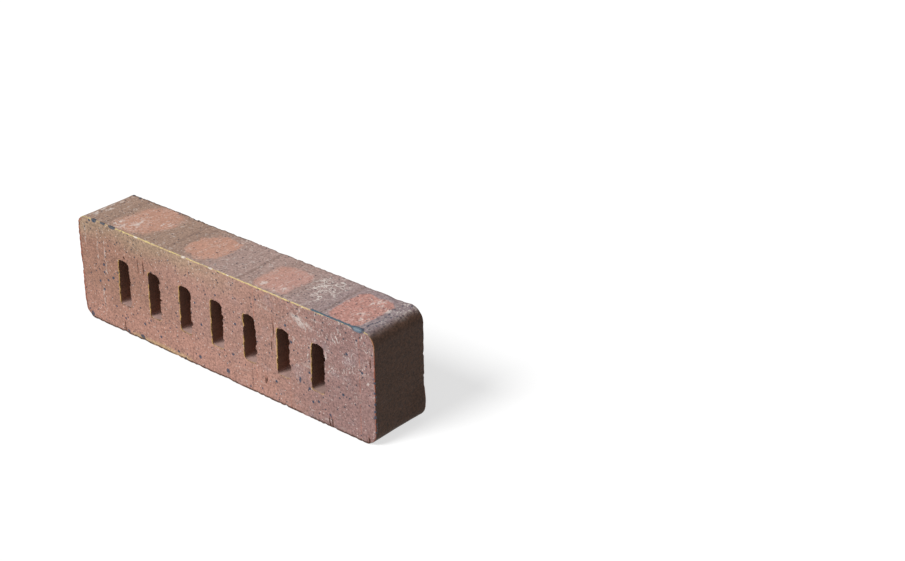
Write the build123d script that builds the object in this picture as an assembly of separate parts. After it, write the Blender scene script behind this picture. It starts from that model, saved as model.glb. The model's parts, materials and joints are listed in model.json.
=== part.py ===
"""Perforated clinker brick, standing on its long narrow side.

The extruded column lies along Y, so the two wire-cut bed faces look along -Y and +Y and the
slots run through from one to the other. X is the length, Z the depth from stretcher to
stretcher. Millimetres; the origin is under the middle of the brick, on the floor.
"""

import os

from build123d import *

# The fired format: length, depth from stretcher to stretcher, height between the bed faces.
BRICK_LENGTH = 290.0
BRICK_DEPTH = 83.0
BRICK_HEIGHT = 48.0

# The die rounds the four long edges of the column; the wire leaves the arrises nearly sharp.
CORNER_RADIUS = 9.5
ARRIS_BREAK = 0.6

# One row of slots with rounded ends, cut a little towards one end and one stretcher.
SLOT_COUNT = 7
SLOT_PITCH = 32.0
SLOT_WIDTH = 11.8
SLOT_LENGTH = 36.5
SLOT_CORNER_RADIUS = 4.0
SLOT_MOUTH_BREAK = 0.4
ROW_SHIFT_X = -1.5
ROW_SHIFT_Z = -0.6

# What the sizes above lead to. A slot's corners never take up its whole width, and the row
# closes up when a short brick would leave too little clay at its ends.
LEAST_END = CORNER_RADIUS + 8.0
slot_corner = min(SLOT_CORNER_RADIUS, 0.48 * SLOT_WIDTH, 0.48 * SLOT_LENGTH)
widest_row = BRICK_LENGTH - 2 * (LEAST_END + abs(ROW_SHIFT_X)) - SLOT_WIDTH
slot_pitch = min(SLOT_PITCH, widest_row / (SLOT_COUNT - 1))


def make_brick():
    """The column's section carried forward by the brick's height, its arrises just broken."""
    rear = Plane(
        origin=(0, BRICK_HEIGHT / 2, BRICK_DEPTH / 2), x_dir=(1, 0, 0), z_dir=(0, -1, 0)
    )
    with BuildPart() as brick:
        with BuildSketch(rear):
            RectangleRounded(BRICK_LENGTH, BRICK_DEPTH, CORNER_RADIUS)
            with Locations((ROW_SHIFT_X, ROW_SHIFT_Z)):
                with GridLocations(slot_pitch, 0, SLOT_COUNT, 1):
                    RectangleRounded(SLOT_WIDTH, SLOT_LENGTH, slot_corner, mode=Mode.SUBTRACT)
        extrude(amount=BRICK_HEIGHT)
    return brick.part


def break_arrises(brick):
    """Bevel the outer arrises and the slots' mouths on both bed faces."""
    for end in (0, -1):
        face = brick.faces().filter_by(Axis.Y).sort_by(Axis.Y)[end]
        brick = brick.chamfer(ARRIS_BREAK, None, face.outer_wire().edges())
        face = brick.faces().filter_by(Axis.Y).sort_by(Axis.Y)[end]
        mouths = [edge for wire in face.inner_wires() for edge in wire.edges()]
        brick = brick.chamfer(SLOT_MOUTH_BREAK, None, mouths)
    return brick


os.makedirs("parts", exist_ok=True)
export_step(break_arrises(make_brick()), "parts/brick.step")
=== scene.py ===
"""A perforated clinker brick on a pale studio floor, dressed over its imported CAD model.

The brick is one fired piece. Its surface is worked out with numpy from the same outlines as the
CAD solid, then warped, chipped and roughened, and one procedural material colours its wire-cut
bed faces, its extruded skin and the walls of its slots.
"""

import json
import math

import bpy
import numpy as np
from mathutils import Matrix, Vector


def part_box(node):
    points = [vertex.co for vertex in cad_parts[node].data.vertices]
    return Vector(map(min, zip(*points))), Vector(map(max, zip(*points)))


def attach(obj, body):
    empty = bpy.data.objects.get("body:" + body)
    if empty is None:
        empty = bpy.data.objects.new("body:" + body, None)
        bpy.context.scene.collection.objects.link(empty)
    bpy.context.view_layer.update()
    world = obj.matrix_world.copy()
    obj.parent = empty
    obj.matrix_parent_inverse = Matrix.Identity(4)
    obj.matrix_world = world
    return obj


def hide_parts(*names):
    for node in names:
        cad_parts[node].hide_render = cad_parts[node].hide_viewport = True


bl_info = {
    "name": "Clinker Brick",
    "version": (1, 0, 0),
    "blender": (4, 5, 0),
    "location": "3D View > Sidebar > Clinker",
    "description": "Shapes, colours and lights a perforated clinker brick",
    "category": "Object",
}

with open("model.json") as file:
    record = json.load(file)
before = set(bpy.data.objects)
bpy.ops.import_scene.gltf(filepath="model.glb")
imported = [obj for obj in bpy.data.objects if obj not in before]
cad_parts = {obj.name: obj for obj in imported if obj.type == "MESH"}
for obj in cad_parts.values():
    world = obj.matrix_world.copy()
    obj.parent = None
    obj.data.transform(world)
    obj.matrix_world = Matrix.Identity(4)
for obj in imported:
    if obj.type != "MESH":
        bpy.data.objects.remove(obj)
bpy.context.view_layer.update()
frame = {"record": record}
_, BRICK_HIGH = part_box("brick")
SLOT_BOXES = sorted(opening["box_m"] for opening in frame["record"]["physics"]["openings"])

MM = 0.001
PIECE = "fired_brick"
CLAY = "fired_clay"


def tint(red, green, blue):
    """A colour given as the screen shows it, from 0 to 255, in the linear values of the shaders."""
    screen = np.array((red, green, blue)) / 255
    linear = np.where(screen > 0.04045, ((screen + 0.055) / 1.055) ** 2.4, screen / 12.92)
    return tuple(float(value) for value in linear)


def tone(name, description, shade):
    """A colour of the panel with its default given as the screen shows it."""
    return bpy.props.FloatVectorProperty(
        name=name, description=description, subtype="COLOR", min=0, max=1, default=tint(*shade),
    )


def length(name, description, millimetres):
    """A length of the panel with its default given in millimetres."""
    return bpy.props.FloatProperty(
        name=name, description=description, unit="LENGTH", subtype="DISTANCE",
        min=0, default=millimetres * MM,
    )


class BrickShape(bpy.types.PropertyGroup):
    """Sizes of the brick that its packed box doesn't give."""

    corner_radius: length("Corner radius", "Round of the column's four long edges", 9.5)
    slot_width: length("Slot width", "Width of a slot between its flat sides", 11.8)
    slot_length: length("Slot length", "Length of a slot over its round ends", 36.5)
    arris_round: length("Arris round", "Mean round of the worn outer arrises", 0.45)
    mouth_round: length("Mouth round", "Mean round of the slots' mouths", 0.3)
    ragged: length("Ragged", "How far a slot's torn side wanders", 0.45)
    relief: bpy.props.FloatProperty(
        name="Relief", description="Strength of the surface's waves, pits and drag lines",
        subtype="FACTOR", min=0, max=2, default=1.0,
    )


class BrickTones(bpy.types.PropertyGroup):
    """Colours of the fired clay."""

    rose: tone("Rose", "Wire-cut clay at the left", (159, 119, 102))
    blush: tone("Blush", "Wire-cut clay at the middle", (168, 128, 115))
    mauve: tone("Mauve", "Wire-cut clay towards the right end", (150, 117, 112))
    salmon: tone("Salmon", "Wire-cut clay near the foot", (178, 132, 117))
    tan: tone("Tan", "Olive cast under the upper arris", (165, 140, 117))
    skin: tone("Skin", "Extruded skin towards the left end", (162, 134, 118))
    skin_middle: tone("Middle skin", "Extruded skin at the middle", (169, 143, 135))
    skin_violet: tone("Violet skin", "Skin near the right end", (152, 134, 136))
    skin_dark: tone("Dark skin", "Lines where the skin fired darker", (122, 98, 88))
    flash: tone("Flash", "Marks where bricks touched in the kiln", (194, 146, 126))
    flash_pink: tone("Pink flash", "Cast of the third mark", (190, 146, 142))
    flash_red: tone("Red flash", "The mark nearest the right end", (190, 138, 126))
    # Header: partly the ends' darker fired skin and partly painted shade, made darker than the clay
    # fires.
    header: tone("Header", "Dark skin of the two ends", (88, 63, 49))
    shaft: tone("Slot wall", "Clay inside the slots", (136, 98, 82))
    straw: tone("Straw", "Yellow line along the upper arris", (218, 197, 132))
    # Ochre: partly fired colour, partly a painted highlight on the slots' edges that face the light.
    ochre_highlight: tone("Ochre", "Thin line on the slots' lit edges", (204, 164, 98))
    rust: tone("Rust", "Red edge of the lower and side arrises", (176, 96, 68))
    slot_floor: tone("Slot floor", "Pale lowest wall of a slot", (174, 143, 134))
    slate: tone("Slate", "Dark specks in the clay", (62, 62, 72))
    glaze: tone("Glaze", "Blue-black melted spots", (50, 64, 84))
    glaze_pale: tone("Pale glaze", "Middle of the largest melted spot", (104, 128, 144))
    teal: tone("Teal glaze", "Melted line at the right of the upper arris", (72, 106, 122))
    bloom: tone("Bloom", "White salts on the surface", (230, 220, 212))
    # The crack colour also paints the shadow along the foot.
    crack: tone("Crack", "Depth of the cracks", (64, 40, 29))


def crowd(count, pull):
    """Numbers from 0 to 1, closer at both ends: t less pull times sin(2 pi t) / (2 pi)."""
    t = np.linspace(0, 1, count)
    return t - pull * np.sin(2 * np.pi * t) / (2 * np.pi)


# After how many cells the lattice of random numbers repeats.
LATTICE = 32


def lattice_noise(points, size, seed):
    """Smooth random numbers from -1 to 1.

    Each corner of a lattice of cells of that size has one, and inside a cell its eight corners
    are blended by the weights 3t^2 - 2t^3 along each axis.
    """
    table = np.random.default_rng(seed).uniform(-1, 1, (LATTICE,) * 3)
    place = points / size
    cell = np.floor(place).astype(int)
    part = place - cell
    part = part * part * (3 - 2 * part)
    total = np.zeros(len(points))
    for corner in np.ndindex(2, 2, 2):
        weight = np.prod(np.where(corner, part, 1 - part), axis=1)
        total += weight * table[tuple(((cell + corner) % LATTICE).T)]
    return total


def waves(points, rows):
    """The sum of some noises, each with its height, size and seed."""
    return sum(height * lattice_noise(points, size, seed) for height, size, seed in rows)


def ease(low, high, value):
    """0 below low, 1 above high and 3t^2 - 2t^3 between them."""
    t = np.clip((value - low) / (high - low), 0, 1)
    return t * t * (3 - 2 * t)


# Rows of the mesh up the brick, and columns along it, all at about a millimetre.
CORNER_ROWS = 9
PLAIN_ROWS = 9
END_ROWS = 9
SIDE_ROWS = 42
END_COLUMNS = 38
WEB_COLUMNS = 28
PLAIN_PULL = 0.6
COLUMN_PULL = 0.72
WALL_ROWS = 44
SHAFT_ROWS = 17
WALL_PULL = 0.8

# The slots' ends: how high they are in millimetres, and how square each quarter is, as the power
# of a superellipse.
END_HEIGHT = 5.2
UPPER_LEFT, UPPER_RIGHT, LOWER_LEFT, LOWER_RIGHT = 3.6, 2.5, 4.6, 3.4

# How far a slot's left side leans out from head to foot, in millimetres, and the share of the way
# down at which it crosses the straight side.
SLOT_LEAN = 0.8
LEAN_CROSSING = 0.4


class Outlines:
    """The brick's outlines in the plane of a bed face, in millimetres."""

    def __init__(self, shape):
        high = np.array(BRICK_HIGH) / MM
        self.half_length = high[0]
        self.half_height = high[1]
        self.depth = high[2]
        self.corner = shape.corner_radius / MM
        self.half_width = shape.slot_width / MM / 2
        half_slot = shape.slot_length / MM / 2
        posts = [self.end_post(-1, half_slot)]
        for box_low, box_high in SLOT_BOXES:
            middle_x = (box_low[0] + box_high[0]) / 2 / MM
            middle_z = (box_low[2] + box_high[2]) / 2 / MM
            foot = middle_z - half_slot
            head = middle_z + half_slot
            posts.append((
                self.slot_post(middle_x, -1, foot, head, LOWER_LEFT, UPPER_LEFT),
                self.slot_post(middle_x, 1, foot, head, LOWER_RIGHT, UPPER_RIGHT),
            ))
        posts.append(self.end_post(1, half_slot))
        self.strips = self.lay_strips(posts)
        self.loops = self.close_loops(posts)

    def heights(self, foot, head, foot_end, head_end):
        """Heights of the rows: round corner, plain, slot end, slot side, and the same back up."""
        turn = np.linspace(0, np.pi / 2, CORNER_ROWS + 1)
        corner = self.corner * (1 - np.cos(turn))
        plain = crowd(PLAIN_ROWS + 1, PLAIN_PULL)[1:]
        below = self.corner + (foot - self.corner) * plain
        top = self.depth - self.corner
        above = head + (top - head) * plain
        side = np.linspace(foot + END_HEIGHT, head - END_HEIGHT, SIDE_ROWS + 1)[1:]
        return np.concatenate((
            corner, below, foot + foot_end[1:], side, head - head_end[::-1][1:], above,
            (self.depth - corner)[::-1][1:],
        ))

    def slot_post(self, middle, side, foot, head, lower_power, upper_power):
        """One side of a slot, with the slot's middle line carried down and up to the edges.

        Each end is a quarter of a superellipse: half the width times sin(turn)^(2/power) across
        and the end's height times 1 - cos(turn)^(2/power) along.
        """
        turn = np.linspace(0, np.pi / 2, END_ROWS + 1)
        foot_end = END_HEIGHT * (1 - np.cos(turn).clip(0) ** (2 / lower_power))
        head_end = END_HEIGHT * (1 - np.cos(turn).clip(0) ** (2 / upper_power))
        z = self.heights(foot, head, foot_end, head_end)
        out_low = np.sin(turn) ** (2 / lower_power)
        out_high = np.sin(turn)[::-1] ** (2 / upper_power)
        blank = np.zeros(CORNER_ROWS + PLAIN_ROWS)
        out = np.concatenate((blank, out_low, np.ones(SIDE_ROWS - 1), out_high, blank))
        lean = SLOT_LEAN * (LEAN_CROSSING - ease(head, foot, z)) * (side < 0)
        return np.stack((middle + side * self.half_width * out + lean * out, z), axis=1)

    def end_post(self, side, half_slot):
        """One end of the bed face: straight, with a quarter circle at its foot and head."""
        even = np.linspace(0, END_HEIGHT, END_ROWS + 1)
        middle = (SLOT_BOXES[0][0][2] + SLOT_BOXES[0][1][2]) / 2 / MM
        z = self.heights(middle - half_slot, middle + half_slot, even, even)
        to_corner = np.clip(self.corner - np.minimum(z, self.depth - z), 0, self.corner)
        reach = np.sqrt(self.corner**2 - to_corner**2)
        return np.stack((side * (self.half_length - self.corner + reach), z), axis=1)

    def lay_strips(self, posts):
        """Ruled strips between neighbouring posts: first + t (second - first) in every row."""
        strips = []
        for left, right in zip(posts, posts[1:]):
            first = left[1] if isinstance(left, tuple) else left
            second = right[0] if isinstance(right, tuple) else right
            outer = first is left or second is right
            t = crowd((END_COLUMNS if outer else WEB_COLUMNS) + 1, COLUMN_PULL)[None, :, None]
            strips.append(first[:, None] * (1 - t) + second[:, None] * t)
        return strips

    def close_loops(self, posts):
        """The outer outline and the seven slots', each once round in order, as closed loops."""
        foot = np.concatenate([strip[0, :-1] for strip in self.strips])
        head = np.concatenate([strip[-1, 1:] for strip in self.strips])[::-1]
        loops = [np.concatenate((foot, posts[-1][:-1], head, posts[0][:0:-1]))]
        first = CORNER_ROWS + PLAIN_ROWS
        last = -1 - first
        for left, right in posts[1:-1]:
            up, down = left[first:last], right[first + 1:len(right) + last][::-1]
            loops.append(np.concatenate((up, left[last:last + 1], down)))
        return loops


def loop_normals(loop, inward):
    """At each point of a closed loop, the level direction at right angles to its neighbours' line."""
    along = np.roll(loop, -1, axis=0) - np.roll(loop, 1, axis=0)
    away = np.stack((along[:, 1], -along[:, 0]), axis=1)
    away /= np.linalg.norm(away, axis=1)[:, None]
    outward = np.sum(away * (loop - loop.mean(axis=0)), axis=1).sum() > 0
    return away if outward != inward else -away


def grid_faces(rows, columns, start, flip):
    """Four-sided faces of a grid of vertices numbered row by row."""
    number = np.arange(rows * columns).reshape(rows, columns) + start
    faces = np.stack(
        (number[:-1, :-1], number[:-1, 1:], number[1:, 1:], number[1:, :-1]), axis=-1
    ).reshape(-1, 4)
    return faces[:, ::-1] if flip else faces


# In how many parts the table of distances to the outlines is worked out.
RIM_PARTS = 24


def nearest_rim(points, rim):
    """For each point of a bed face, the number of the nearest outline point and its distance."""
    number = np.empty(len(points), dtype=int)
    distance = np.empty(len(points))
    for part in np.array_split(np.arange(len(points)), RIM_PARTS):
        apart = np.linalg.norm(points[part, None] - rim[None], axis=2)
        number[part] = apart.argmin(axis=1)
        distance[part] = apart.min(axis=1)
    return number, distance


class Shell:
    """The brick's closed surface before it is worn, as patches that share their border points."""

    def __init__(self, outlines):
        self.points, self.faces, self.marks = [], [], []
        self.count = 0
        self.rim = np.concatenate(outlines.loops)
        self.rim_normal = np.concatenate(
            [loop_normals(loop, inward=place > 0) for place, loop in enumerate(outlines.loops)]
        )
        self.half_height = outlines.half_height
        for strip in outlines.strips:
            flat = strip.reshape(-1, 2)
            number, distance = nearest_rim(flat, self.rim)
            for side in (-1, 1):
                points = np.insert(flat, 1, side * self.half_height, axis=1)
                self.add(points, strip.shape[:2], side > 0, number, 0, distance, 0)
        start = 0
        for place, loop in enumerate(outlines.loops):
            self.carry_wall(loop, start, place)
            start += len(loop)
        self.weld()
        self.on_slot = self.rim_number >= len(outlines.loops[0])

    def add(self, points, shape, flip, *marks):
        """Keeps one grid of points, with what the wear needs to know about each.

        That is the number of the nearest outline point, the distances to the bed face and to
        the outline, and the kind of face: 0 for a bed face, 1 for skin and 2 for a slot's wall.
        """
        self.points.append(points)
        self.faces.append(grid_faces(*shape, self.count, flip))
        self.marks.append(np.stack([np.broadcast_to(mark, len(points)) for mark in marks]))
        self.count += len(points)

    def carry_wall(self, loop, start, place):
        """A closed outline carried through the brick from bed face to bed face, along Y."""
        rows = WALL_ROWS if place == 0 else SHAFT_ROWS
        y = (2 * crowd(rows + 1, WALL_PULL) - 1) * self.half_height
        y[0], y[-1] = -self.half_height, self.half_height
        ring = np.append(np.arange(len(loop)), 0)
        across = np.broadcast_to(y[:, None], (rows + 1, len(ring)))
        flat = np.broadcast_to(loop[ring], (rows + 1, len(ring), 2))
        points = np.stack((flat[..., 0], across, flat[..., 1]), axis=-1).reshape(-1, 3)
        number = np.broadcast_to(ring + start, (rows + 1, len(ring))).reshape(-1)
        to_bed = self.half_height - np.abs(points[:, 1])
        kind = 1 if place == 0 else 2
        self.add(points, (rows + 1, len(ring)), place == 0, number, to_bed, 0, kind)

    def weld(self):
        """Merges the points that patches share: those in one place to a hundredth of a micron."""
        points = np.concatenate(self.points)
        key = np.round(points * 1e5).astype(np.int64)
        _, first, back = np.unique(key, axis=0, return_index=True, return_inverse=True)
        back = back.reshape(-1)
        marks = np.concatenate(self.marks, axis=1)
        self.weights = np.stack(
            [np.bincount(back, marks[3] == kind, len(first)) for kind in range(3)], axis=1
        )
        self.weights /= self.weights.sum(axis=1)[:, None]
        self.base = points[first]
        self.faces = back[np.concatenate(self.faces)]
        self.rim_number = marks[0, first].astype(int)
        self.to_bed, self.to_rim = marks[1:3, first]


def vertex_normals(points, faces):
    """Each vertex's direction outward: the sum of the crossed diagonals of the faces round it."""
    corners = points[faces]
    crossed = np.cross(corners[:, 2] - corners[:, 0], corners[:, 3] - corners[:, 1])
    normals = np.zeros_like(points)
    for corner in range(4):
        for axis in range(3):
            normals[:, axis] += np.bincount(faces[:, corner], crossed[:, axis], len(points))
    return normals / np.linalg.norm(normals, axis=1)[:, None].clip(1e-12)


# How far outlines are torn, as shares of the setting: a slot's sides and what its right side has
# more, then the arrises that stayed calm, the left end's and all the others.
SLOT_TEAR, TORN_SIDE_TEAR = 1.3, 2.9
CALM_TEAR, LEFT_TEAR, PLAIN_TEAR = 0.5, 3.2, 2.1

# Where those arrises are, in millimetres: the front one above this height and all that is right of
# the second stayed calm, and the left end's lie left of the third.
CALM_ABOVE, CALM_RIGHT_OF, LEFT_OF = 80, 141, -143

# How far a torn outline may swell, in millimetres, and how deep into the brick and how far over the
# bed face the tearing dies away.
SLOT_SWELL, OUTER_SWELL = 0.7, 0.3
TEAR_INTO, TEAR_OVER = 1.8, 1.5

# Noises along the outlines as strength, size and seed: of how round they are and how torn. The
# front and rear outlines are this far from the middle in the space of the noises.
ROUND_GRAIN = ((0.5, 5, 11), (0.4, 1.7, 12))
TORN = ((1.0, 2.7, 21), (0.7, 1.3, 22))
BITE = ((1.0, 4.5, 23),)
RIMS_APART = 40


def wear_edges(shell, shape):
    """Rounds the arrises and tears the slots' mouths.

    Near an arris the square corner is drawn to a circle: a point's two depths into the corner
    are divided by their length. A torn outline is moved level by smooth noise that dies away
    over a millimetre or so.
    """
    base = shell.base
    rim = shell.rim[shell.rim_number]
    front = np.sign(base[:, 1])
    rim_place = np.stack((rim[:, 0], RIMS_APART * front, rim[:, 1]), axis=1)
    level = shell.rim_normal[shell.rim_number]
    mean = np.where(shell.on_slot, shape.mouth_round, shape.arris_round) / MM
    radius = mean * (0.5 + (0.6 + waves(rim_place, ROUND_GRAIN)).clip(0.1))
    into_bed = (1 - shell.to_bed / radius).clip(0)
    into_wall = (1 - shell.to_rim / radius).clip(0)
    reach = np.hypot(into_bed, into_wall)
    drawn = np.where(np.minimum(into_bed, into_wall) > 0, 1 / reach.clip(1e-9), 1) - 1
    points = base.copy()
    points[:, 1] += front * radius * into_bed * drawn
    points[:, [0, 2]] += level * (radius * into_wall * drawn)[:, None]
    near = np.exp(-shell.to_bed / TEAR_INTO) * np.exp(-shell.to_rim / TEAR_OVER)
    torn = waves(rim_place, TORN) - 0.2
    bite = waves(rim_place, BITE).clip(0.35) * 1.6
    calm = ((front < 0) & (rim[:, 1] > CALM_ABOVE)) | (rim[:, 0] > CALM_RIGHT_OF)
    outer = np.where(calm, CALM_TEAR, np.where(rim[:, 0] < LEFT_OF, LEFT_TEAR, PLAIN_TEAR))
    slot = SLOT_TEAR + TORN_SIDE_TEAR * ease(0.55, 1.0, -level[:, 0])
    amount = np.where(shell.on_slot, slot, outer) * shape.ragged / MM
    swell = np.where(shell.on_slot, -SLOT_SWELL, -OUTER_SWELL)
    shift = (amount * torn * bite).clip(swell)
    points[:, [0, 2]] -= level * (near * shift)[:, None]
    return points


# Knocks and lumps, in millimetres: middle, radius and how far the clay goes in (or out, if
# negative). They are the marks that show in the photograph along the lower arris and the ends.
KNOCKS = (
    ((-101.0, -24, 1.0), 3.4, 0.75), ((-82.0, -24, 0.5), 4.0, 0.6),
    ((-138.0, -24, 3.5), 3.0, 0.7), ((-45.0, -24, 0.0), 2.6, 0.5),
    ((5.0, -24, 0.0), 7.0, 0.45), ((104.0, -24, 1.5), 2.2, 0.9),
    ((107.5, -24, 0.5), 2.0, 0.8), ((139.5, -24, 2.5), 2.4, 1.0),
    ((144.0, -24, 1.5), 3.0, -0.7), ((145.0, 24, 14.0), 15.0, -1.1),
    ((70.0, -24, 82.5), 3.2, 0.4), ((130.0, -24, 83.0), 4.5, -0.5),
    ((-30.0, -24, 82.8), 2.2, 0.35), ((144.6, -24, 60.0), 2.6, 0.5),
    ((144.6, -24, 33.0), 2.0, 0.45), ((134.0, 24, 83.0), 5.0, -0.5),
    ((121.0, 24, 83.0), 4.0, 0.6), ((-60.0, 24, 83.0), 3.0, 0.5),
)

# Small chips: how many, and the least and greatest radius and depth, in millimetres.
SMALL_CHIPS = 150
CHIP_RADII = (0.9, 2.3)
CHIP_DEPTHS = (0.12, 0.4)


def dent(points, normals, middle, radius, depth):
    """Moves what lies within the radius in by depth times (1 - (distance / radius)^2)^1.5."""
    apart = np.linalg.norm(points - np.array(middle), axis=1) / radius
    near = apart < 1
    points[near] -= normals[near] * (depth * (1 - apart[near] ** 2) ** 1.5)[:, None]


def chip(points, normals, shell):
    """The photographed knocks, and small chips scattered along the arrises."""
    for middle, radius, depth in KNOCKS:
        dent(points, normals, middle, radius, depth)
    random = np.random.default_rng(31)
    picks = random.integers(0, len(shell.rim), SMALL_CHIPS)
    sides = random.choice((-1, 1), SMALL_CHIPS) * shell.half_height
    sizes = random.uniform(*CHIP_RADII, SMALL_CHIPS)
    depths = random.uniform(*CHIP_DEPTHS, SMALL_CHIPS)
    for pick, side, radius, depth in zip(picks, sides, sizes, depths):
        middle = (shell.rim[pick, 0], side, shell.rim[pick, 1])
        dent(points, normals, middle, radius, depth)


# Relief as height and size in millimetres and seed: waves and grain all over, and lines along the
# dragged skin.
WAVES = ((0.16, 46, 41), (0.08, 13, 42), (0.04, 4.3, 43))
GRAIN = ((0.035, 1.5, 48),)
SKIN_LINES = ((0.07, 2.6, 44), (0.05, 8, 45))

# The wire leaves lines at this angle, and pits where a noise passes a limit.
WIRE_ANGLE = math.radians(28)
WIRE_LINES = ((0.05, 2.2, 46),)
PITS = ((1.0, 2.3, 47),)
PIT_LIMIT, PIT_DEPTH = 0.55, 0.45


def roughen(points, normals, shell, strength):
    """Raises and lowers the surface along its normals by sums of noise.

    All over: long waves and fine grain. On the skin: lines along Y, as the die drags them. On
    the bed faces: shallow lines as the wire drags them, and pits.
    """
    base = shell.base
    bed, skin, shaft = shell.weights.T
    across = base[:, 0] * math.sin(WIRE_ANGLE) + base[:, 2] * math.cos(WIRE_ANGLE)
    along = base[:, 0] * math.cos(WIRE_ANGLE) - base[:, 2] * math.sin(WIRE_ANGLE)
    wire = np.stack((across, 0.08 * along, base[:, 1]), axis=1)
    height = waves(base, WAVES) + (skin + shaft) * waves(base * (1, 0.04, 1), SKIN_LINES)
    height += bed * waves(wire, WIRE_LINES)
    height -= bed * PIT_DEPTH * (waves(base, PITS) - PIT_LIMIT).clip(0)
    height += waves(base, GRAIN)
    return points + normals * (strength * height)[:, None]


# How far the upper side falls by the right end, in millimetres, and where the fall begins.
FALL = 0.5
FALL_FROM = -60


def warp(points, outlines):
    """The long bends of firing: the upper side falls a little towards the right end."""
    fall = FALL * ease(FALL_FROM, outlines.half_length, points[:, 0])
    points[:, 2] -= fall * points[:, 2] / outlines.depth
    return points


def flat_mesh(name, points, faces):
    """A mesh of four-sided faces from whole arrays."""
    mesh = bpy.data.meshes.new(name)
    mesh.vertices.add(len(points))
    mesh.vertices.foreach_set("co", np.ascontiguousarray(points, dtype=np.float32).ravel())
    mesh.loops.add(faces.size)
    mesh.loops.foreach_set("vertex_index", np.ascontiguousarray(faces, dtype=np.int32).ravel())
    mesh.polygons.add(len(faces))
    mesh.polygons.foreach_set("loop_start", np.arange(0, faces.size, 4, dtype=np.int32))
    mesh.update(calc_edges=True)
    mesh.validate()
    return mesh


def give_attribute(mesh, name, values):
    """Keeps one number for each vertex under a name that the material reads."""
    layer = mesh.attributes.new(name, "FLOAT", "POINT")
    layer.data.foreach_set("value", np.ascontiguousarray(values, dtype=np.float32))


def joining(operation, reflected=False):
    """A method that joins a signal and something else, in that order or reflected."""
    def join(self, other):
        first, second = (other, self) if reflected else (self, other)
        return self.bench.node("ShaderNodeMath", {"operation": operation}, {0: first, 1: second})

    return join


class Signal:
    """A shader socket that takes part in sums, with numbers or with other sockets."""

    __add__, __radd__ = joining("ADD"), joining("ADD", reflected=True)
    __sub__, __rsub__ = joining("SUBTRACT"), joining("SUBTRACT", reflected=True)
    __mul__, __rmul__ = joining("MULTIPLY"), joining("MULTIPLY", reflected=True)
    __truediv__ = joining("DIVIDE")
    __pow__ = joining("POWER")
    __mod__ = joining("FLOORED_MODULO")
    lesser = joining("MINIMUM")

    def __init__(self, bench, socket):
        self.bench = bench
        self.socket = socket

    def __abs__(self):
        return self.bench.node("ShaderNodeMath", {"operation": "ABSOLUTE"}, {0: self})

    def beside(self, name):
        """Another output of the same node."""
        return Signal(self.bench, self.socket.node.outputs[name])


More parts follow.
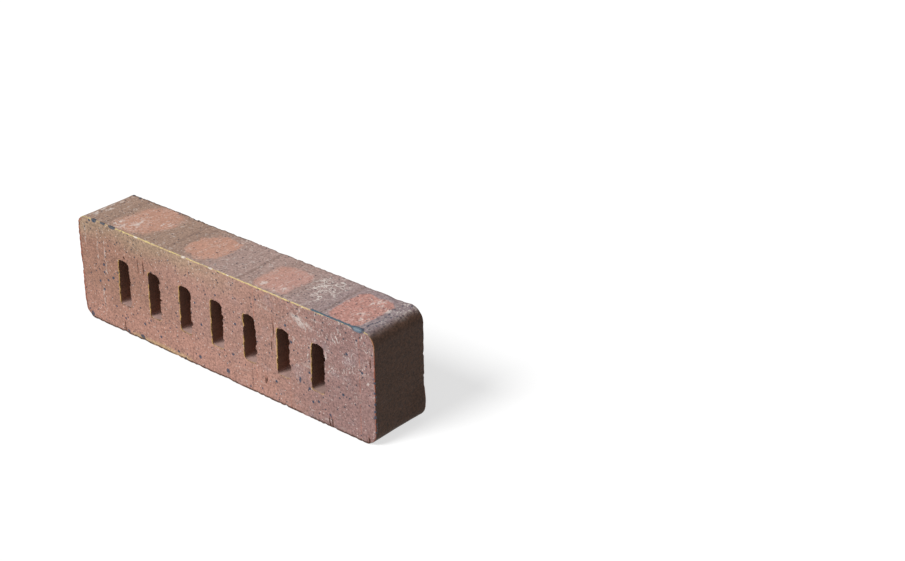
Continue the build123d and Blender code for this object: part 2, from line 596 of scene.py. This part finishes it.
class Bench:
    """Writes the nodes of one material or world."""

    def __init__(self, owner):
        owner.use_nodes = True
        self.tree = owner.node_tree
        self.tree.nodes.clear()

    def node(self, kind, settings=None, values=None, out=0):
        """One node: its settings first, then the values or links of its sockets."""
        item = self.tree.nodes.new(kind)
        for name, value in (settings or {}).items():
            setattr(item, name, value)
        for key, value in (values or {}).items():
            socket = item.inputs[key]
            if isinstance(value, Signal):
                self.tree.links.new(value.socket, socket)
            elif socket.type == "RGBA":
                socket.default_value = (*value, 1)
            else:
                socket.default_value = value
        return Signal(self, item.outputs[out]) if item.outputs else None

    def vector(self, operation, *values, out=0):
        """One sum with places."""
        settings = {"operation": operation}
        return self.node("ShaderNodeVectorMath", settings, dict(enumerate(values)), out)

    def measure(self):
        """Places on Object coordinates in millimetres, whole and along each axis."""
        place = self.node("ShaderNodeTexCoord", out="Object")
        self.place = self.vector("MULTIPLY", place, (1 / MM,) * 3)
        self.x = self.node("ShaderNodeSeparateXYZ", values={0: self.place}, out="X")
        self.y, self.z = self.x.beside("Y"), self.x.beside("Z")

    def attribute(self, name):
        """A number kept on the mesh's vertices."""
        return self.node("ShaderNodeAttribute", {"attribute_name": name}, out="Fac")

    def step(self, low, high, value):
        """0 at low and 1 at high, smooth between them, and the other way round if low is more."""
        return self.node(
            "ShaderNodeMapRange", {"interpolation_type": "SMOOTHSTEP"},
            {"Value": value, "From Min": low, "From Max": high},
        )

    def band(self, middle, half, soft, value):
        """1 within half of the middle, falling to 0 over soft."""
        return self.step(half + soft, half, abs(value - middle))

    def mix(self, share, first, second):
        """The first colour with that share of the second."""
        values = {0: share, 6: first, 7: second}
        return self.node("ShaderNodeMix", {"data_type": "RGBA"}, values, out=2)

    def shade(self, colour, strength):
        """A colour made brighter or darker by a number, as a share of it that may pass 1."""
        settings = {"data_type": "RGBA", "clamp_factor": False}
        return self.node("ShaderNodeMix", settings, {0: strength, 6: (0, 0, 0), 7: colour}, out=2)

    def moved(self, size, shift, stretch=(1, 1, 1), turn=(0, 0, 0)):
        """Places counted in cells of a size, stretched, turned and shifted."""
        scale = tuple(factor / size for factor in stretch)
        return self.node(
            "ShaderNodeMapping", {"vector_type": "POINT"},
            {"Vector": self.place, "Location": shift, "Rotation": turn, "Scale": scale},
        )

    def noise(self, size, seed, detail=2.0, stretch=(1, 1, 1), turn=(0, 0, 0), rough=0.55):
        """Noise from about 0.2 to 0.8, with features of a size in millimetres."""
        shift = (seed * 3.7, seed * 5.3, seed * 7.1)
        return self.node(
            "ShaderNodeTexNoise", {},
            {"Vector": self.moved(size, shift, stretch, turn), "Scale": 1.0, "Detail": detail,
             "Roughness": rough},
        )

    def specks(self, cell, radius, soft, seed):
        """Round spots, one in each cell at most, as a cut through a scatter of balls."""
        shift = (seed * 2.9, seed * 4.1, seed * 6.7)
        distance = self.node(
            "ShaderNodeTexVoronoi", {"feature": "F1"},
            {"Vector": self.moved(cell, shift), "Scale": 1.0}, out="Distance",
        )
        return self.step((radius + soft) / cell, (radius - soft) / cell, distance)

    def curls(self, size, seed, half, kept):
        """Thin curling lines where a noise crosses its middle, broken up by a finer one."""
        line = self.band(0.5, half, half, self.noise(size, seed, detail=0.8))
        return line * self.step(kept, kept + 0.06, self.noise(1.1 * size, seed + 1, detail=0.0))

    def nearest(self, place, rows, axis):
        """How far the nearest of some ovals is, 1 on its rim.

        A row has an oval's middle along X and the other axis, 1 for Y or 2 for Z, then its half
        sizes. The ovals run right through along the third axis.
        """
        nearest = None
        for x, other, half_x, half_other in rows:
            scale, shift = [0, 0, 0], [0, 0, 0]
            scale[0], scale[axis] = 1 / half_x, 1 / half_other
            shift[0], shift[axis] = -x * scale[0], -other * scale[axis]
            moved = self.vector("MULTIPLY_ADD", place, scale, shift)
            far = self.vector("LENGTH", moved, out="Value")
            nearest = far if nearest is None else nearest.lesser(far)
        return nearest

    def nudge(self, along):
        """The places with a small shift along X, so that straight marks waver."""
        return self.vector("ADD", self.place, self.node("ShaderNodeCombineXYZ", {}, {"X": along}))

    def oval(self, across, along, middle, half, power, soft, wander):
        """A superellipse with a soft rim: 1 inside (|across|/a)^p + (|along|/b)^p = 1."""
        first = abs((across - middle[0]) / half[0]) ** power
        second = abs((along - middle[1]) / half[1]) ** power
        return self.step(1 + soft, 1 - soft, first + second + wander)

    def on_front(self):
        """1 on the front bed face and 0 on what lies behind it."""
        return self.step(-22.8, -23.4, self.y)

    def finish(self, surface, kind="Material"):
        """Joins the shader to the output of the material or world."""
        self.node("ShaderNodeOutput" + kind, {}, {"Surface": surface})


class Coat:
    """A colour that is built up layer by layer."""

    def __init__(self, bench, colour):
        self.bench = bench
        self.colour = colour

    def add(self, share, colour):
        """Lays that share of another colour over it."""
        self.colour = self.bench.mix(share, self.colour, colour)

    def shade(self, strength):
        """Makes all that is laid so far brighter or darker."""
        self.colour = self.bench.shade(self.colour, strength)


# Kiln flash marks on the stretchers, in millimetres: middle, half size, squareness, softness,
# and how far the mark leans along for each millimetre across.
FLASHES = (
    ((-92.5, 0), (19.5, 22.5), 3.0, 0.55, 0.14),
    ((-27.5, -1.0), (16.0, 20.0), 2.6, 0.22, 0.02),
    ((45.5, -4.0), (15.8, 17.5), 3.8, 0.50, -0.05),
)

# The mark nearest the right end, which fired red and lies straight, in the same way.
RED_FLASH = ((114.5, -2.0), (15.5, 19.5), 5.5, 0.28)

# Where dark lines cross the skin along Y, in millimetres along X.
DARK_LINES = (-118, -53, 19.5, 96)

# Rings of dried salts on the skin, in millimetres: middle along X and Y, and half sizes.
CURLS = (
    (67, 17, 2.2, 2.0), (72, 13, 2.6, 2.2), (80, 15, 3.2, 3.6), (71, 6, 2.2, 2.8),
    (76.5, 8, 2.0, 2.6), (81, 6, 2.4, 2.0), (73, 0, 2.4, 2.2), (78.5, 0.5, 2.2, 2.6),
    (76, -6, 2.6, 2.0), (82, -8, 2.0, 2.4), (90, 16, 3.0, 1.6),
)

# Brushed white salts on the upper skin, in the same way.
WHITE_STREAKS = (
    (-99, -11, 10, 10), (-80, 5, 5, 5), (52.2, -11, 1.3, 10),
    (56.5, -16, 3.2, 5), (39, -16, 2.5, 3), (118, 10.5, 6.5, 6),
    (122, -10.5, 6.5, 6.5), (127.5, 7, 4, 4), (-134, -4, 4, 16),
)

# The largest blue-black grains in the front bed face, in millimetres: middle along X and Z, and
# half sizes.
DARK_SPOTS = (
    (-138.5, 2.8, 1.6, 1.8), (-127.0, 82.0, 1.8, 1.4), (-119.5, 49.2, 1.0, 1.2),
    (-110.0, 41.5, 1.3, 1.3), (-98.0, 2.2, 1.5, 1.3), (-82.5, 2.8, 2.1, 1.9),
    (-79.0, 14.5, 0.9, 1.0), (-44.0, 4.2, 1.1, 0.9), (-21.5, 7.8, 1.4, 1.2),
    (6.5, 6.8, 1.5, 1.8), (16.8, 47.2, 1.1, 1.1), (77.4, 26.6, 0.9, 2.2),
    (40.5, 5.6, 0.9, 0.9), (120.8, 61.0, 1.0, 1.0), (94.0, 15.4, 1.0, 0.9),
)

# White salt runs down the front bed face, in the same way.
SALT_RUNS = (
    (-125.0, 61, 0.9, 12), (-117.5, 61, 0.8, 20), (-122.5, 20, 0.6, 15),
    (-118.5, 43, 2.0, 3.4), (-138.0, 69, 1.0, 8),
)


def bed_finish(bench, tones):
    """Colour and height of the wire-cut clay."""
    step, noise, specks, band = bench.step, bench.noise, bench.specks, bench.band
    x, z = bench.x, bench.z
    front = bench.on_front()
    grit = noise(1.5, 1, detail=1, rough=0.7)
    grain = noise(3.2, 71, detail=4, rough=0.8)
    clouds = noise(24, 2)
    blots = noise(7, 3, detail=4, rough=0.65)
    drift = x + 50 * (clouds - 0.5)
    coat = Coat(bench, tones.rose)
    coat.add(step(-110, -5, drift), tones.blush)
    coat.add(step(40, 125, drift), tones.mauve)
    foot = step(36, 8, z + 34 * (clouds - 0.5)) * step(95, 25, x)
    coat.add(0.70 * foot, tones.salmon)
    cast = step(62, 80, z + 20 * (noise(30, 4) - 0.5)) * step(50, -50, x)
    coat.add(0.85 * cast, tones.tan)
    violet = step(0.52, 0.72, noise(15, 5)) * step(-40, 80, x)
    coat.add(0.40 * violet, tones.skin_violet)
    straws = step(5.0, 1.5, z + 3 * (blots - 0.5)) * band(-62, 26, 10, x)
    coat.add(0.35 * straws, tones.straw)

    # The core rods leave an upright trace in line with each slot.
    pitch = (SLOT_BOXES[1][0][0] - SLOT_BOXES[0][0][0]) / MM
    start = SLOT_BOXES[0][1][0] / MM + 1.2 - pitch / 2
    along = (x - start) % pitch
    traces = band(pitch / 2, 0.10, 0.45, along + 0.8 * (blots - 0.5))
    faded = step(0.48, 0.62, noise(13, 72)) * step(-70, -20, x)
    coat.add(0.40 * traces * faded, tones.rust)
    tide = 0.30 * blots + 0.60 * grain + 1.35 * grit
    bright = 0.07 * step(48, 70, z) * band(-10, 22, 30, x)
    coat.shade(tide + bright - 0.125)

    scratch = noise(3, 6, detail=4, stretch=(0.14, 1, 1), turn=(0, math.radians(-32), 0))
    drag = step(0.56, 0.70, scratch) * step(0.45, 0.6, noise(19, 7))
    coat.add(0.22 * drag * step(-40, 90, x), tones.bloom)

    right = step(25, 105, x) * step(20, 50, z)
    wavering = bench.nudge(4.5 * (noise(9, 93) - 0.5))
    runs = step(1.3, 0.6, bench.nearest(wavering, SALT_RUNS, 2))
    motes = noise(1.3, 8, detail=2, rough=0.6)
    salted = step(0.57, 0.66, motes) * step(0.50, 0.60, noise(9, 9, detail=3))
    strokes = noise(1.5, 91, detail=2, stretch=(1, 1, 0.40), turn=(0, math.radians(24), 0))
    scrawl = step(0.60, 0.66, strokes) + 0.5 * bench.curls(2.2, 92, 0.030, 0.54)
    scrawl = scrawl * step(0.44, 0.58, noise(12, 10))
    patch = bench.oval(x, z + 0.25 * (x - 80), (80.5, 70.5), (8.5, 3.4), 2.0, 0.8, 3 * (blots - 0.5))
    patch = patch * step(0.36, 0.56, noise(3.6, 95, detail=3))
    coat.add(0.42 * salted * (0.12 + 0.88 * right), tones.bloom)
    coat.add(0.66 * scrawl * (0.06 + 0.94 * right), tones.bloom)
    runs = runs * step(0.42, 0.58, noise(2.6, 94, detail=3))
    coat.add(0.36 * runs * front, tones.bloom)
    coat.add(0.62 * patch, tones.bloom)

    middling = specks(4.6, 0.70, 0.2, 2)
    large = specks(11.0, 1.10, 0.25, 3)
    coat.add(0.55 * specks(2.1, 0.40, 0.12, 1), tones.slate)
    coat.add(0.88 * middling, tones.slate)
    coat.add(0.92 * large, tones.glaze)
    coat.add(0.55 * specks(3.2, 0.45, 0.15, 4), tones.bloom)
    spots = bench.nearest(bench.place, DARK_SPOTS, 2) + 2.4 * (grain - 0.5)
    spots = step(1.15, 0.85, spots) * front
    coat.add(0.88 * spots, tones.glaze)
    height = 0.34 * grain + 0.34 * grit + 0.10 * blots - 0.08 * middling - 0.08 * large
    return coat.colour, height


def skin_finish(bench, tones):
    """Colour and height of the skin that the die leaves on stretchers and headers."""
    step, noise, specks, curls = bench.step, bench.noise, bench.specks, bench.curls
    x, y, z = bench.x, bench.y, bench.z
    upper = step(60, 76, z)
    grit = noise(1.6, 11, detail=1, rough=0.7)
    grain = noise(3.2, 73, detail=4, rough=0.8)
    blots = noise(6, 12, detail=4, rough=0.65)
    lines = noise(2.2, 13, detail=3, stretch=(1, 0.06, 1))
    bands = noise(13, 14, detail=2, stretch=(1, 0.18, 1))
    drift = x + 20 * (blots - 0.5)
    coat = Coat(bench, tones.skin)
    coat.add(step(-60, 5, drift), tones.skin_middle)
    coat.add(step(40, 130, drift), tones.skin_violet)
    coat.add(step(0.50, 0.70, bands) * 0.20, tones.skin_dark)
    for place in DARK_LINES:
        line = bench.band(place, 0.3, 2.2, x + 0.06 * y + 3 * (blots - 0.5))
        coat.add(0.38 * line, tones.skin_dark)
    wander = 1.5 * (blots - 0.5) + 1.6 * (noise(14, 15) - 0.5)
    smear = step(0.52, 0.64, noise(3.2, 16, detail=4, stretch=(1, 0.35, 1)))
    flash = bench.mix(0.5 * step(0, 60, x), tones.flash, tones.flash_pink)
    marked = 0.0
    for *form, lean in FLASHES:
        mark = bench.oval(x - lean * y, y, *form, wander)
        marked = mark + marked
        coat.add(0.88 * mark, flash)
        coat.add(0.12 * mark * smear, tones.bloom)
    coat.add(0.88 * bench.oval(x, y, *RED_FLASH, wander), tones.flash_red)
    brushed = noise(2.4, 38, detail=4, stretch=(1, 0.45, 1), turn=(0, 0, math.radians(24)))
    streaks = bench.nearest(bench.place, WHITE_STREAKS, 1) + 1.6 * (blots - 0.5)
    streaks = step(1.3, 0.7, streaks) * step(0.50, 0.60, brushed)
    coat.add(0.55 * streaks * upper, tones.bloom)
    sharp = (1.20 * (grit - 0.5) + 0.50 * (grain - 0.5)) * (1 - 0.45 * marked)
    coat.shade(0.28 * blots + 0.22 * lines + sharp + 0.75)

    # White salts dry in thin curls.
    worm = 1 - step(0.09, 0.17, abs(bench.nearest(bench.place, CURLS, 1) - 0.9))
    worm = worm * step(0.40, 0.47, noise(4.0, 37, detail=1))
    worm = worm + 0.8 * curls(6.0, 17, 0.022, 0.50)
    field = bench.oval(x, y, (77, 4), (13, 19), 2.5, 0.7, wander)
    ends = step(126, 133, x) * upper
    near_left = bench.oval(x, y, (-102, -15), (14, 7), 2.0, 0.6, wander)
    coat.add(0.70 * worm * field, tones.bloom)
    coat.add(0.60 * curls(4.0, 27, 0.030, 0.48) * near_left, tones.bloom)
    coat.add(0.30 * curls(3.4, 29, 0.025, 0.56), tones.bloom)
    coat.add(0.17 * bench.band(134.5, 3, 2.5, x) * upper, tones.slate)
    crust = step(0.48, 0.60, noise(2.6, 19, detail=4, rough=0.7))
    crust = crust * ends * (0.25 + 0.75 * step(0, 14, y))
    coat.add(0.70 * crust, tones.bloom)

    coat.add(0.50 * specks(2.4, 0.42, 0.12, 13), tones.slate)
    coat.add(0.75 * specks(4.8, 0.66, 0.2, 11), tones.slate)
    coat.add(0.40 * specks(3.4, 0.45, 0.15, 14), tones.bloom)
    coat.add(0.75 * (specks(2.6, 0.8, 0.25, 12) * ends), tones.glaze)

    # The headers are darker: partly fired dark and partly painted shade; the change comes over the
    # round edge.
    end = step(136.5, 143.5, abs(x) + 3 * (blots - 0.5))
    tide = 0.25 * blots + 0.20 * lines + 0.90 * grain + 2.20 * grit
    dusk = Coat(bench, tones.header)
    dusk.shade(tide - 0.775)
    dusk.add(0.25 * step(0.55, 0.75, noise(9, 20)), tones.skin_dark)
    coat.add(end, dusk.colour)
    height = 0.26 * grain + 0.24 * grit + 0.08 * lines + 0.06 * blots + 0.08 * worm * field
    return coat.colour, height


def shaft_finish(bench, tones):
    """Colour and height of the walls inside the slots, streaked along them."""
    streaks = bench.noise(1.8, 31, detail=3, stretch=(1, 0.08, 1))
    blots = bench.noise(5, 32, detail=3)
    coat = Coat(bench, tones.shaft)
    coat.add(bench.step(26, 23.2, bench.z), tones.slot_floor)
    dim = 0.20 * bench.step(50, 90, bench.x)
    coat.shade(0.54 + 0.46 * streaks + 0.46 * blots - dim)
    return coat.colour, 0.12 * streaks + 0.06 * blots


# Blue-black melted spots on the upper front arris, in millimetres along it and from it: middle and
# half sizes.
GLAZE_SPOTS = (
    (-126.5, 0, 2.8, 2.0), (-117.0, 0, 3.2, 1.2),
    (-107.0, 0, 4.0, 1.6), (130.5, 0, 5.5, 3.4),
)

# Middle and half length of the melted line at the right of that arris, in millimetres.
GLAZE_STRIP = (109.0, 19.0)

# Pale flecks on the same arris, placed in the same way.
PALE_SPOTS = (
    (-81.0, 0, 2.2, 1.0), (-32.0, 0, 3.0, 1.3),
    (-5.0, 0, 2.2, 1.2), (12.0, 0, 1.4, 0.8),
)


def arris_finish(bench, tones, coat):
    """The lines on the edges: straw at the head, rust at the foot and ends, glaze spots; also a
    painted shadow along the foot and a painted highlight on the slots' lit edges.
    """
    step, noise = bench.step, bench.noise
    x, y, z = bench.x, bench.y, bench.z
    bed = bench.attribute("bed_share")
    to_rim = bench.attribute("to_rim")
    to_bed = bench.attribute("to_bed")
    outer = bench.attribute("outer_rim")
    reach = to_rim + to_bed
    ragged = noise(1.6, 51, detail=3, rough=0.7)
    broken = noise(5.5, 52, detail=3)
    flecks = step(0.40, 0.55, noise(2.2, 53, detail=2))
    edge = step(0.80, 0.35, reach + 2.0 * (ragged - 0.5)) * outer
    foot_edge = step(1.9, 1.0, reach + 1.8 * (ragged - 0.5)) * outer
    front = step(-20.5, -21.5, y)
    head = step(79.5, 81.5, z)
    bend = step(133, 136, x) * step(64, 74, z) * (1 - head)
    straw = head * step(0.38, 0.52, broken + 0.14 * step(140, 50, x)) + 0.5 * bend
    straw = straw * edge * front * (0.50 + 0.50 * flecks)
    coat.add(0.85 * straw, tones.straw)
    rust = edge * step(81.5, 78, z) * step(0.36, 0.50, broken)
    coat.add(0.60 * rust, tones.rust)
    # Painted shadow: a broken dark line along the foot, where the brick meets the floor.
    foot_shadow = step(0.32, 0.46, noise(16, 54, detail=2)) * step(3.0, 1.5, z)
    coat.add(0.85 * foot_edge * foot_shadow, tones.crack)
    left = step(2.3, 1.2, reach + 1.8 * (ragged - 0.5)) * outer * step(-140, -142, x)
    coat.add(0.60 * left, tones.rust)
    coat.add(0.65 * left * flecks, tones.crack)
    behind = step(19.5, 20.5, y)
    rear = foot_edge * behind * (0.3 + 0.7 * flecks) * (0.35 + 0.40 * step(10, -60, x))
    coat.add(rear, tones.crack)
    beads = bench.specks(3.8, 1.15, 0.3, 22) * step(3.4, 2.2, reach) * outer * behind
    coat.add(0.85 * beads * step(-30, -60, x), tones.glaze)

    # The slots' lit edges get a thin ochre line, partly fired colour and partly painted highlight,
    # and their torn sides are nicked.
    mouth = step(0.95, 0.40, reach + 0.9 * (ragged - 0.5)) * (1 - outer)
    mouth = mouth * bench.attribute("rim_lit") * step(0.34, 0.48, broken)
    coat.add(0.85 * mouth, tones.ochre_highlight)
    nick = step(0.54, 0.60, noise(1.7, 55, detail=2)) * step(0.9, 0.4, to_rim)
    nick = nick * bench.attribute("rim_torn") * bed
    coat.add(0.85 * nick, tones.crack)

    round_edge = bench.node("ShaderNodeCombineXYZ", {}, {"X": x, "Y": reach})
    spots = bench.nearest(round_edge, GLAZE_SPOTS, 1) + 0.8 * (ragged - 0.5)
    glaze = step(1.2, 0.85, spots) * front * head
    strip = bench.band(*GLAZE_STRIP, 2, x)
    on_skin = step(2.4, 1.4, to_bed + 2.4 * (ragged - 0.5)) * step(0.3, 0.05, to_rim)
    strip = strip * on_skin * step(0.24, 0.32, broken) * head * front
    glaze = glaze + strip
    drops = bench.specks(2.7, 0.95, 0.3, 21) * step(141, 143, x) * step(2.0, 1.0, reach)
    drops = drops * step(62, 45, z)
    glaze = step(0.2, 0.9, glaze + drops * front)
    milky = bench.oval(x, reach, (131.0, 0), (3.4, 2.2), 2.0, 0.6, 1.4 * (ragged - 0.5))
    melt = Coat(bench, tones.glaze)
    melt.add(0.80 * strip, tones.teal)
    melt.add(0.85 * milky, tones.glaze_pale)
    coat.add(0.88 * glaze, melt.colour)
    pale = bench.nearest(round_edge, PALE_SPOTS, 1) + 1.0 * (ragged - 0.5)
    coat.add(0.70 * step(1.1, 0.6, pale) * front * head, tones.bloom)
    return glaze


# Short cracks in the front bed face, in millimetres: middle along X and Z, and half sizes.
CRACKS = (
    (-81.3, 59.5, 0.35, 5.6), (-75.6, 59.8, 0.50, 5.4), (-95.8, 61.8, 0.70, 1.4),
    (54.0, 56.0, 0.45, 5.6), (51.6, 42.0, 0.35, 4.2), (44.4, 13.2, 0.60, 2.6),
    (45.8, 14.4, 0.45, 1.8), (31.5, 11.0, 0.10, 12.0), (-28.7, 9.0, 0.09, 9.0),
    (-101.3, 4.5, 0.50, 5.0), (103.6, 3.6, 0.55, 4.0), (106.4, 2.8, 0.60, 4.0),
    (138.8, 2.2, 0.60, 3.2), (141.5, 61.0, 0.50, 3.6),
)


def crack_finish(bench, tones, coat):
    """Thin upright cracks, rusty at their lips, dark and sunk along the middle."""
    place = bench.nudge(0.5 * (bench.noise(2.5, 61, detail=2) - 0.5))
    crack = bench.nearest(place, CRACKS, 2)
    front = bench.on_front()
    depth = bench.step(1.2, 0.65, crack) * front
    coat.add(0.22 * bench.step(2.2, 1.0, crack) * front, tones.rust)
    coat.add(0.96 * depth, tones.crack)
    return depth


def make_clay(tones):
    """The one material of the fired piece, with its three finishes shared out by attributes."""
    material = bpy.data.materials.new(CLAY)
    bench = Bench(material)
    bench.measure()
    bed_colour, bed_height = bed_finish(bench, tones)
    skin_colour, skin_height = skin_finish(bench, tones)
    shaft_colour, shaft_height = shaft_finish(bench, tones)
    inside = bench.step(0.35, 0.75, bench.attribute("shaft_share"))
    flat = bench.step(0.35, 0.75, bench.attribute("bed_share"))
    coat = Coat(bench, skin_colour)
    coat.add(inside, shaft_colour)
    coat.add(flat, bed_colour)
    height = skin_height * (1 - inside) + shaft_height * inside
    height = height * (1 - flat) + bed_height * flat
    glaze = arris_finish(bench, tones, coat)
    height = height - 0.6 * crack_finish(bench, tones, coat) + 0.1 * glaze
    rough = 0.84 - 0.10 * (1 - flat) * (1 - inside) - 0.42 * glaze
    bump = bench.node("ShaderNodeBump", {}, {"Strength": 0.8, "Distance": MM, "Height": height})
    surface = bench.node(
        "ShaderNodeBsdfPrincipled", {},
        {"Base Color": coat.colour, "Roughness": rough, "IOR": 1.45, "Normal": bump},
    )
    bench.finish(surface)
    return material


class CLINKER_OT_clay(bpy.types.Operator):
    """Make the fired clay's material."""

    bl_idname = "clinker.clay"
    bl_label = "Mix the clay"

    def execute(self, context):
        make_clay(context.scene.brick_tones)
        return {"FINISHED"}


class CLINKER_OT_brick(bpy.types.Operator):
    """Shape the brick and let it stand for the CAD node."""

    bl_idname = "clinker.brick"
    bl_label = "Shape the brick"

    def execute(self, context):
        if CLAY not in bpy.data.materials:
            raise RuntimeError("the clay has to be mixed before the brick is shaped")
        shape = context.scene.brick_shape
        outlines = Outlines(shape)
        shell = Shell(outlines)
        points = wear_edges(shell, shape)
        normals = vertex_normals(points, shell.faces)
        chip(points, normals, shell)
        points = roughen(points, normals, shell, shape.relief)
        points = warp(points, outlines)
        mesh = flat_mesh(PIECE, points * MM, shell.faces)
        level = shell.rim_normal[shell.rim_number]
        marks = {
            "bed_share": shell.weights[:, 0],
            "shaft_share": shell.weights[:, 2],
            "to_rim": shell.to_rim,
            "to_bed": shell.to_bed,
            "outer_rim": 1.0 - shell.on_slot,
            "rim_lit": ease(0.1, 0.8, np.maximum(level[:, 0], 0.45 * level[:, 1])),
            "rim_torn": shell.on_slot * ease(0.1, 0.8, -level[:, 0]),
        }
        for name, values in marks.items():
            give_attribute(mesh, name, values)
        mesh.polygons.foreach_set("use_smooth", np.ones(len(mesh.polygons), dtype=bool))
        mesh.materials.append(bpy.data.materials[CLAY])
        piece = bpy.data.objects.new(PIECE, mesh)
        context.scene.collection.objects.link(piece)
        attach(piece, "root")
        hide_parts("brick")
        return {"FINISHED"}


class StageSettings(bpy.types.PropertyGroup):
    """Light, floor and camera."""

    key_strength: bpy.props.FloatProperty(
        name="Key light", description="Strength of the large lamp at the upper left",
        min=0, default=3.5,
    )
    key_angle: bpy.props.FloatProperty(
        name="Key softness", description="Angle that the large lamp fills in the sky",
        subtype="ANGLE", unit="ROTATION", min=0, default=math.radians(24),
    )
    sky: bpy.props.FloatProperty(
        name="Sky", description="Strength of the even light from all round", min=0, default=0.26,
    )
    lens: bpy.props.FloatProperty(
        name="Lens", description="Focal length for a film 36 mm wide", min=1, default=69.9,
    )


# Where the camera stood, as fitted to the edges and slots of the brick in the photograph.
CAMERA_PLACE = (0.8069, -0.7365, 0.6129)
CAMERA_AIM = (0.0284, 0.1925, 0.0)
CAMERA_ROLL = math.radians(-0.1)
FILM_WIDTH = 36

# The direction that the large lamp shines from.
KEY_FROM = (-0.20, -0.70, 0.69)

# The floor: how far it reaches and lies below the brick, its rings and the points on each, the
# grey that lights the brick, and the grey and glow that the camera sees.
FLOOR_REACH = 6.0
FLOOR_DROP = 0.4 * MM
FLOOR_RINGS, FLOOR_TURNS = 6, 64
FLOOR_GREY, FLOOR_PALE, FLOOR_GLOW = 0.30, 0.40, 0.66


def make_floor_material():
    """White to the camera with the brick's shadow on it, and a plain grey to the light."""
    material = bpy.data.materials.new("studio_floor")
    bench = Bench(material)
    path = bench.node("ShaderNodeLightPath", out="Is Camera Ray")
    path = path + path.beside("Is Glossy Ray") + path.beside("Is Transmission Ray")
    seen = bench.step(0.0, 1.0, path)
    plain = bench.node("ShaderNodeBsdfDiffuse", {}, {"Color": (FLOOR_GREY,) * 3})
    pale = bench.node("ShaderNodeBsdfDiffuse", {}, {"Color": (FLOOR_PALE,) * 3})
    glow = bench.node("ShaderNodeEmission", {}, {"Color": (1, 1, 1), "Strength": FLOOR_GLOW})
    lit = bench.node("ShaderNodeAddShader", {}, {0: pale, 1: glow})
    surface = bench.node("ShaderNodeMixShader", {}, {0: seen, 1: plain, 2: lit})
    bench.finish(surface)
    return material


def lay_floor(scene):
    """A flat round floor: rings of points at growing radii about the brick."""
    turns, rings = FLOOR_TURNS, FLOOR_RINGS
    turn = np.linspace(0, 2 * np.pi, turns, endpoint=False)
    radius = FLOOR_REACH * (np.arange(1, rings + 1) / rings) ** 2
    x = radius[:, None] * np.cos(turn)
    y = radius[:, None] * np.sin(turn)
    points = np.stack((x, y, np.full_like(x, -FLOOR_DROP)), axis=-1).reshape(-1, 3)
    points = np.concatenate((points, [(0, 0, -FLOOR_DROP)]))
    number = np.arange(turns * rings).reshape(rings, turns)
    step = np.roll(number, -1, axis=1)
    faces = np.stack((number[:-1], number[1:], step[1:], step[:-1]), axis=-1).reshape(-1, 4)
    hub = [(int(a), int(b), turns * rings) for a, b in zip(number[0], step[0])]
    mesh = bpy.data.meshes.new("floor")
    mesh.from_pydata(points.tolist(), [], faces.tolist() + hub)
    mesh.materials.append(make_floor_material())
    floor = bpy.data.objects.new("floor", mesh)
    scene.collection.objects.link(floor)


def light_sky(scene, strength):
    """An even dim sky that looks white where the camera sees past the floor."""
    scene.world = bpy.data.worlds.new("studio_sky")
    bench = Bench(scene.world)
    seen = bench.node("ShaderNodeLightPath", out="Is Camera Ray")
    bright = bench.node("ShaderNodeMix", {"data_type": "FLOAT"}, {0: seen, 2: strength, 3: 1.0})
    bench.finish(bench.node("ShaderNodeBackground", {}, {"Strength": bright}), "World")


def place_key(scene, stage):
    """The large soft lamp at the upper left in front of the brick."""
    lamp = bpy.data.lights.new("key_light", "SUN")
    lamp.energy = stage.key_strength
    lamp.angle = stage.key_angle
    key = bpy.data.objects.new("key_light", lamp)
    key.rotation_euler = Vector(KEY_FROM).to_track_quat("Z", "Y").to_euler()
    key.location = KEY_FROM
    scene.collection.objects.link(key)


def place_camera(scene, stage):
    """The camera at the photograph's viewpoint."""
    lens = bpy.data.cameras.new("camera")
    lens.lens = stage.lens
    lens.sensor_width = FILM_WIDTH
    camera = bpy.data.objects.new("camera", lens)
    look = Vector(CAMERA_AIM) - Vector(CAMERA_PLACE)
    turn = look.to_track_quat("-Z", "Y").to_matrix().to_4x4()
    camera.matrix_world = (
        Matrix.Translation(CAMERA_PLACE) @ turn @ Matrix.Rotation(CAMERA_ROLL, 4, "Z")
    )
    scene.collection.objects.link(camera)
    scene.camera = camera


class CLINKER_OT_stage(bpy.types.Operator):
    """Lay the floor, light the brick and place the camera."""

    bl_idname = "clinker.stage"
    bl_label = "Set the stage"

    def execute(self, context):
        scene = context.scene
        scene.view_settings.view_transform = "Standard"
        lay_floor(scene)
        light_sky(scene, scene.brick_stage.sky)
        place_key(scene, scene.brick_stage)
        place_camera(scene, scene.brick_stage)
        return {"FINISHED"}


class CLINKER_PT_panel(bpy.types.Panel):
    """Lists the brick's settings and steps."""

    bl_idname = "CLINKER_PT_panel"
    bl_label = "Clinker brick"
    bl_space_type = "VIEW_3D"
    bl_region_type = "UI"
    bl_category = "Clinker"

    def draw(self, context):
        for place, group in GROUPS.items():
            box = self.layout.box()
            for name in group.__annotations__:
                box.prop(getattr(context.scene, place), name)
        for step in STEPS:
            self.layout.operator(step.bl_idname)


GROUPS = {"brick_shape": BrickShape, "brick_tones": BrickTones, "brick_stage": StageSettings}
STEPS = (CLINKER_OT_clay, CLINKER_OT_brick, CLINKER_OT_stage)
CLASSES = (*GROUPS.values(), *STEPS, CLINKER_PT_panel)


def register():
    """Makes the settings and operators known to Blender."""
    for entry in CLASSES:
        bpy.utils.register_class(entry)
    for place, group in GROUPS.items():
        setattr(bpy.types.Scene, place, bpy.props.PointerProperty(type=group))


def unregister():
    """Takes them away again."""
    for place in GROUPS:
        delattr(bpy.types.Scene, place)
    for entry in reversed(CLASSES):
        bpy.utils.unregister_class(entry)


def main():
    """Registers the add-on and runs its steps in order."""
    register()
    bpy.ops.clinker.clay()
    bpy.ops.clinker.brick()
    bpy.ops.clinker.stage()


if __name__ == "__main__":
    main()
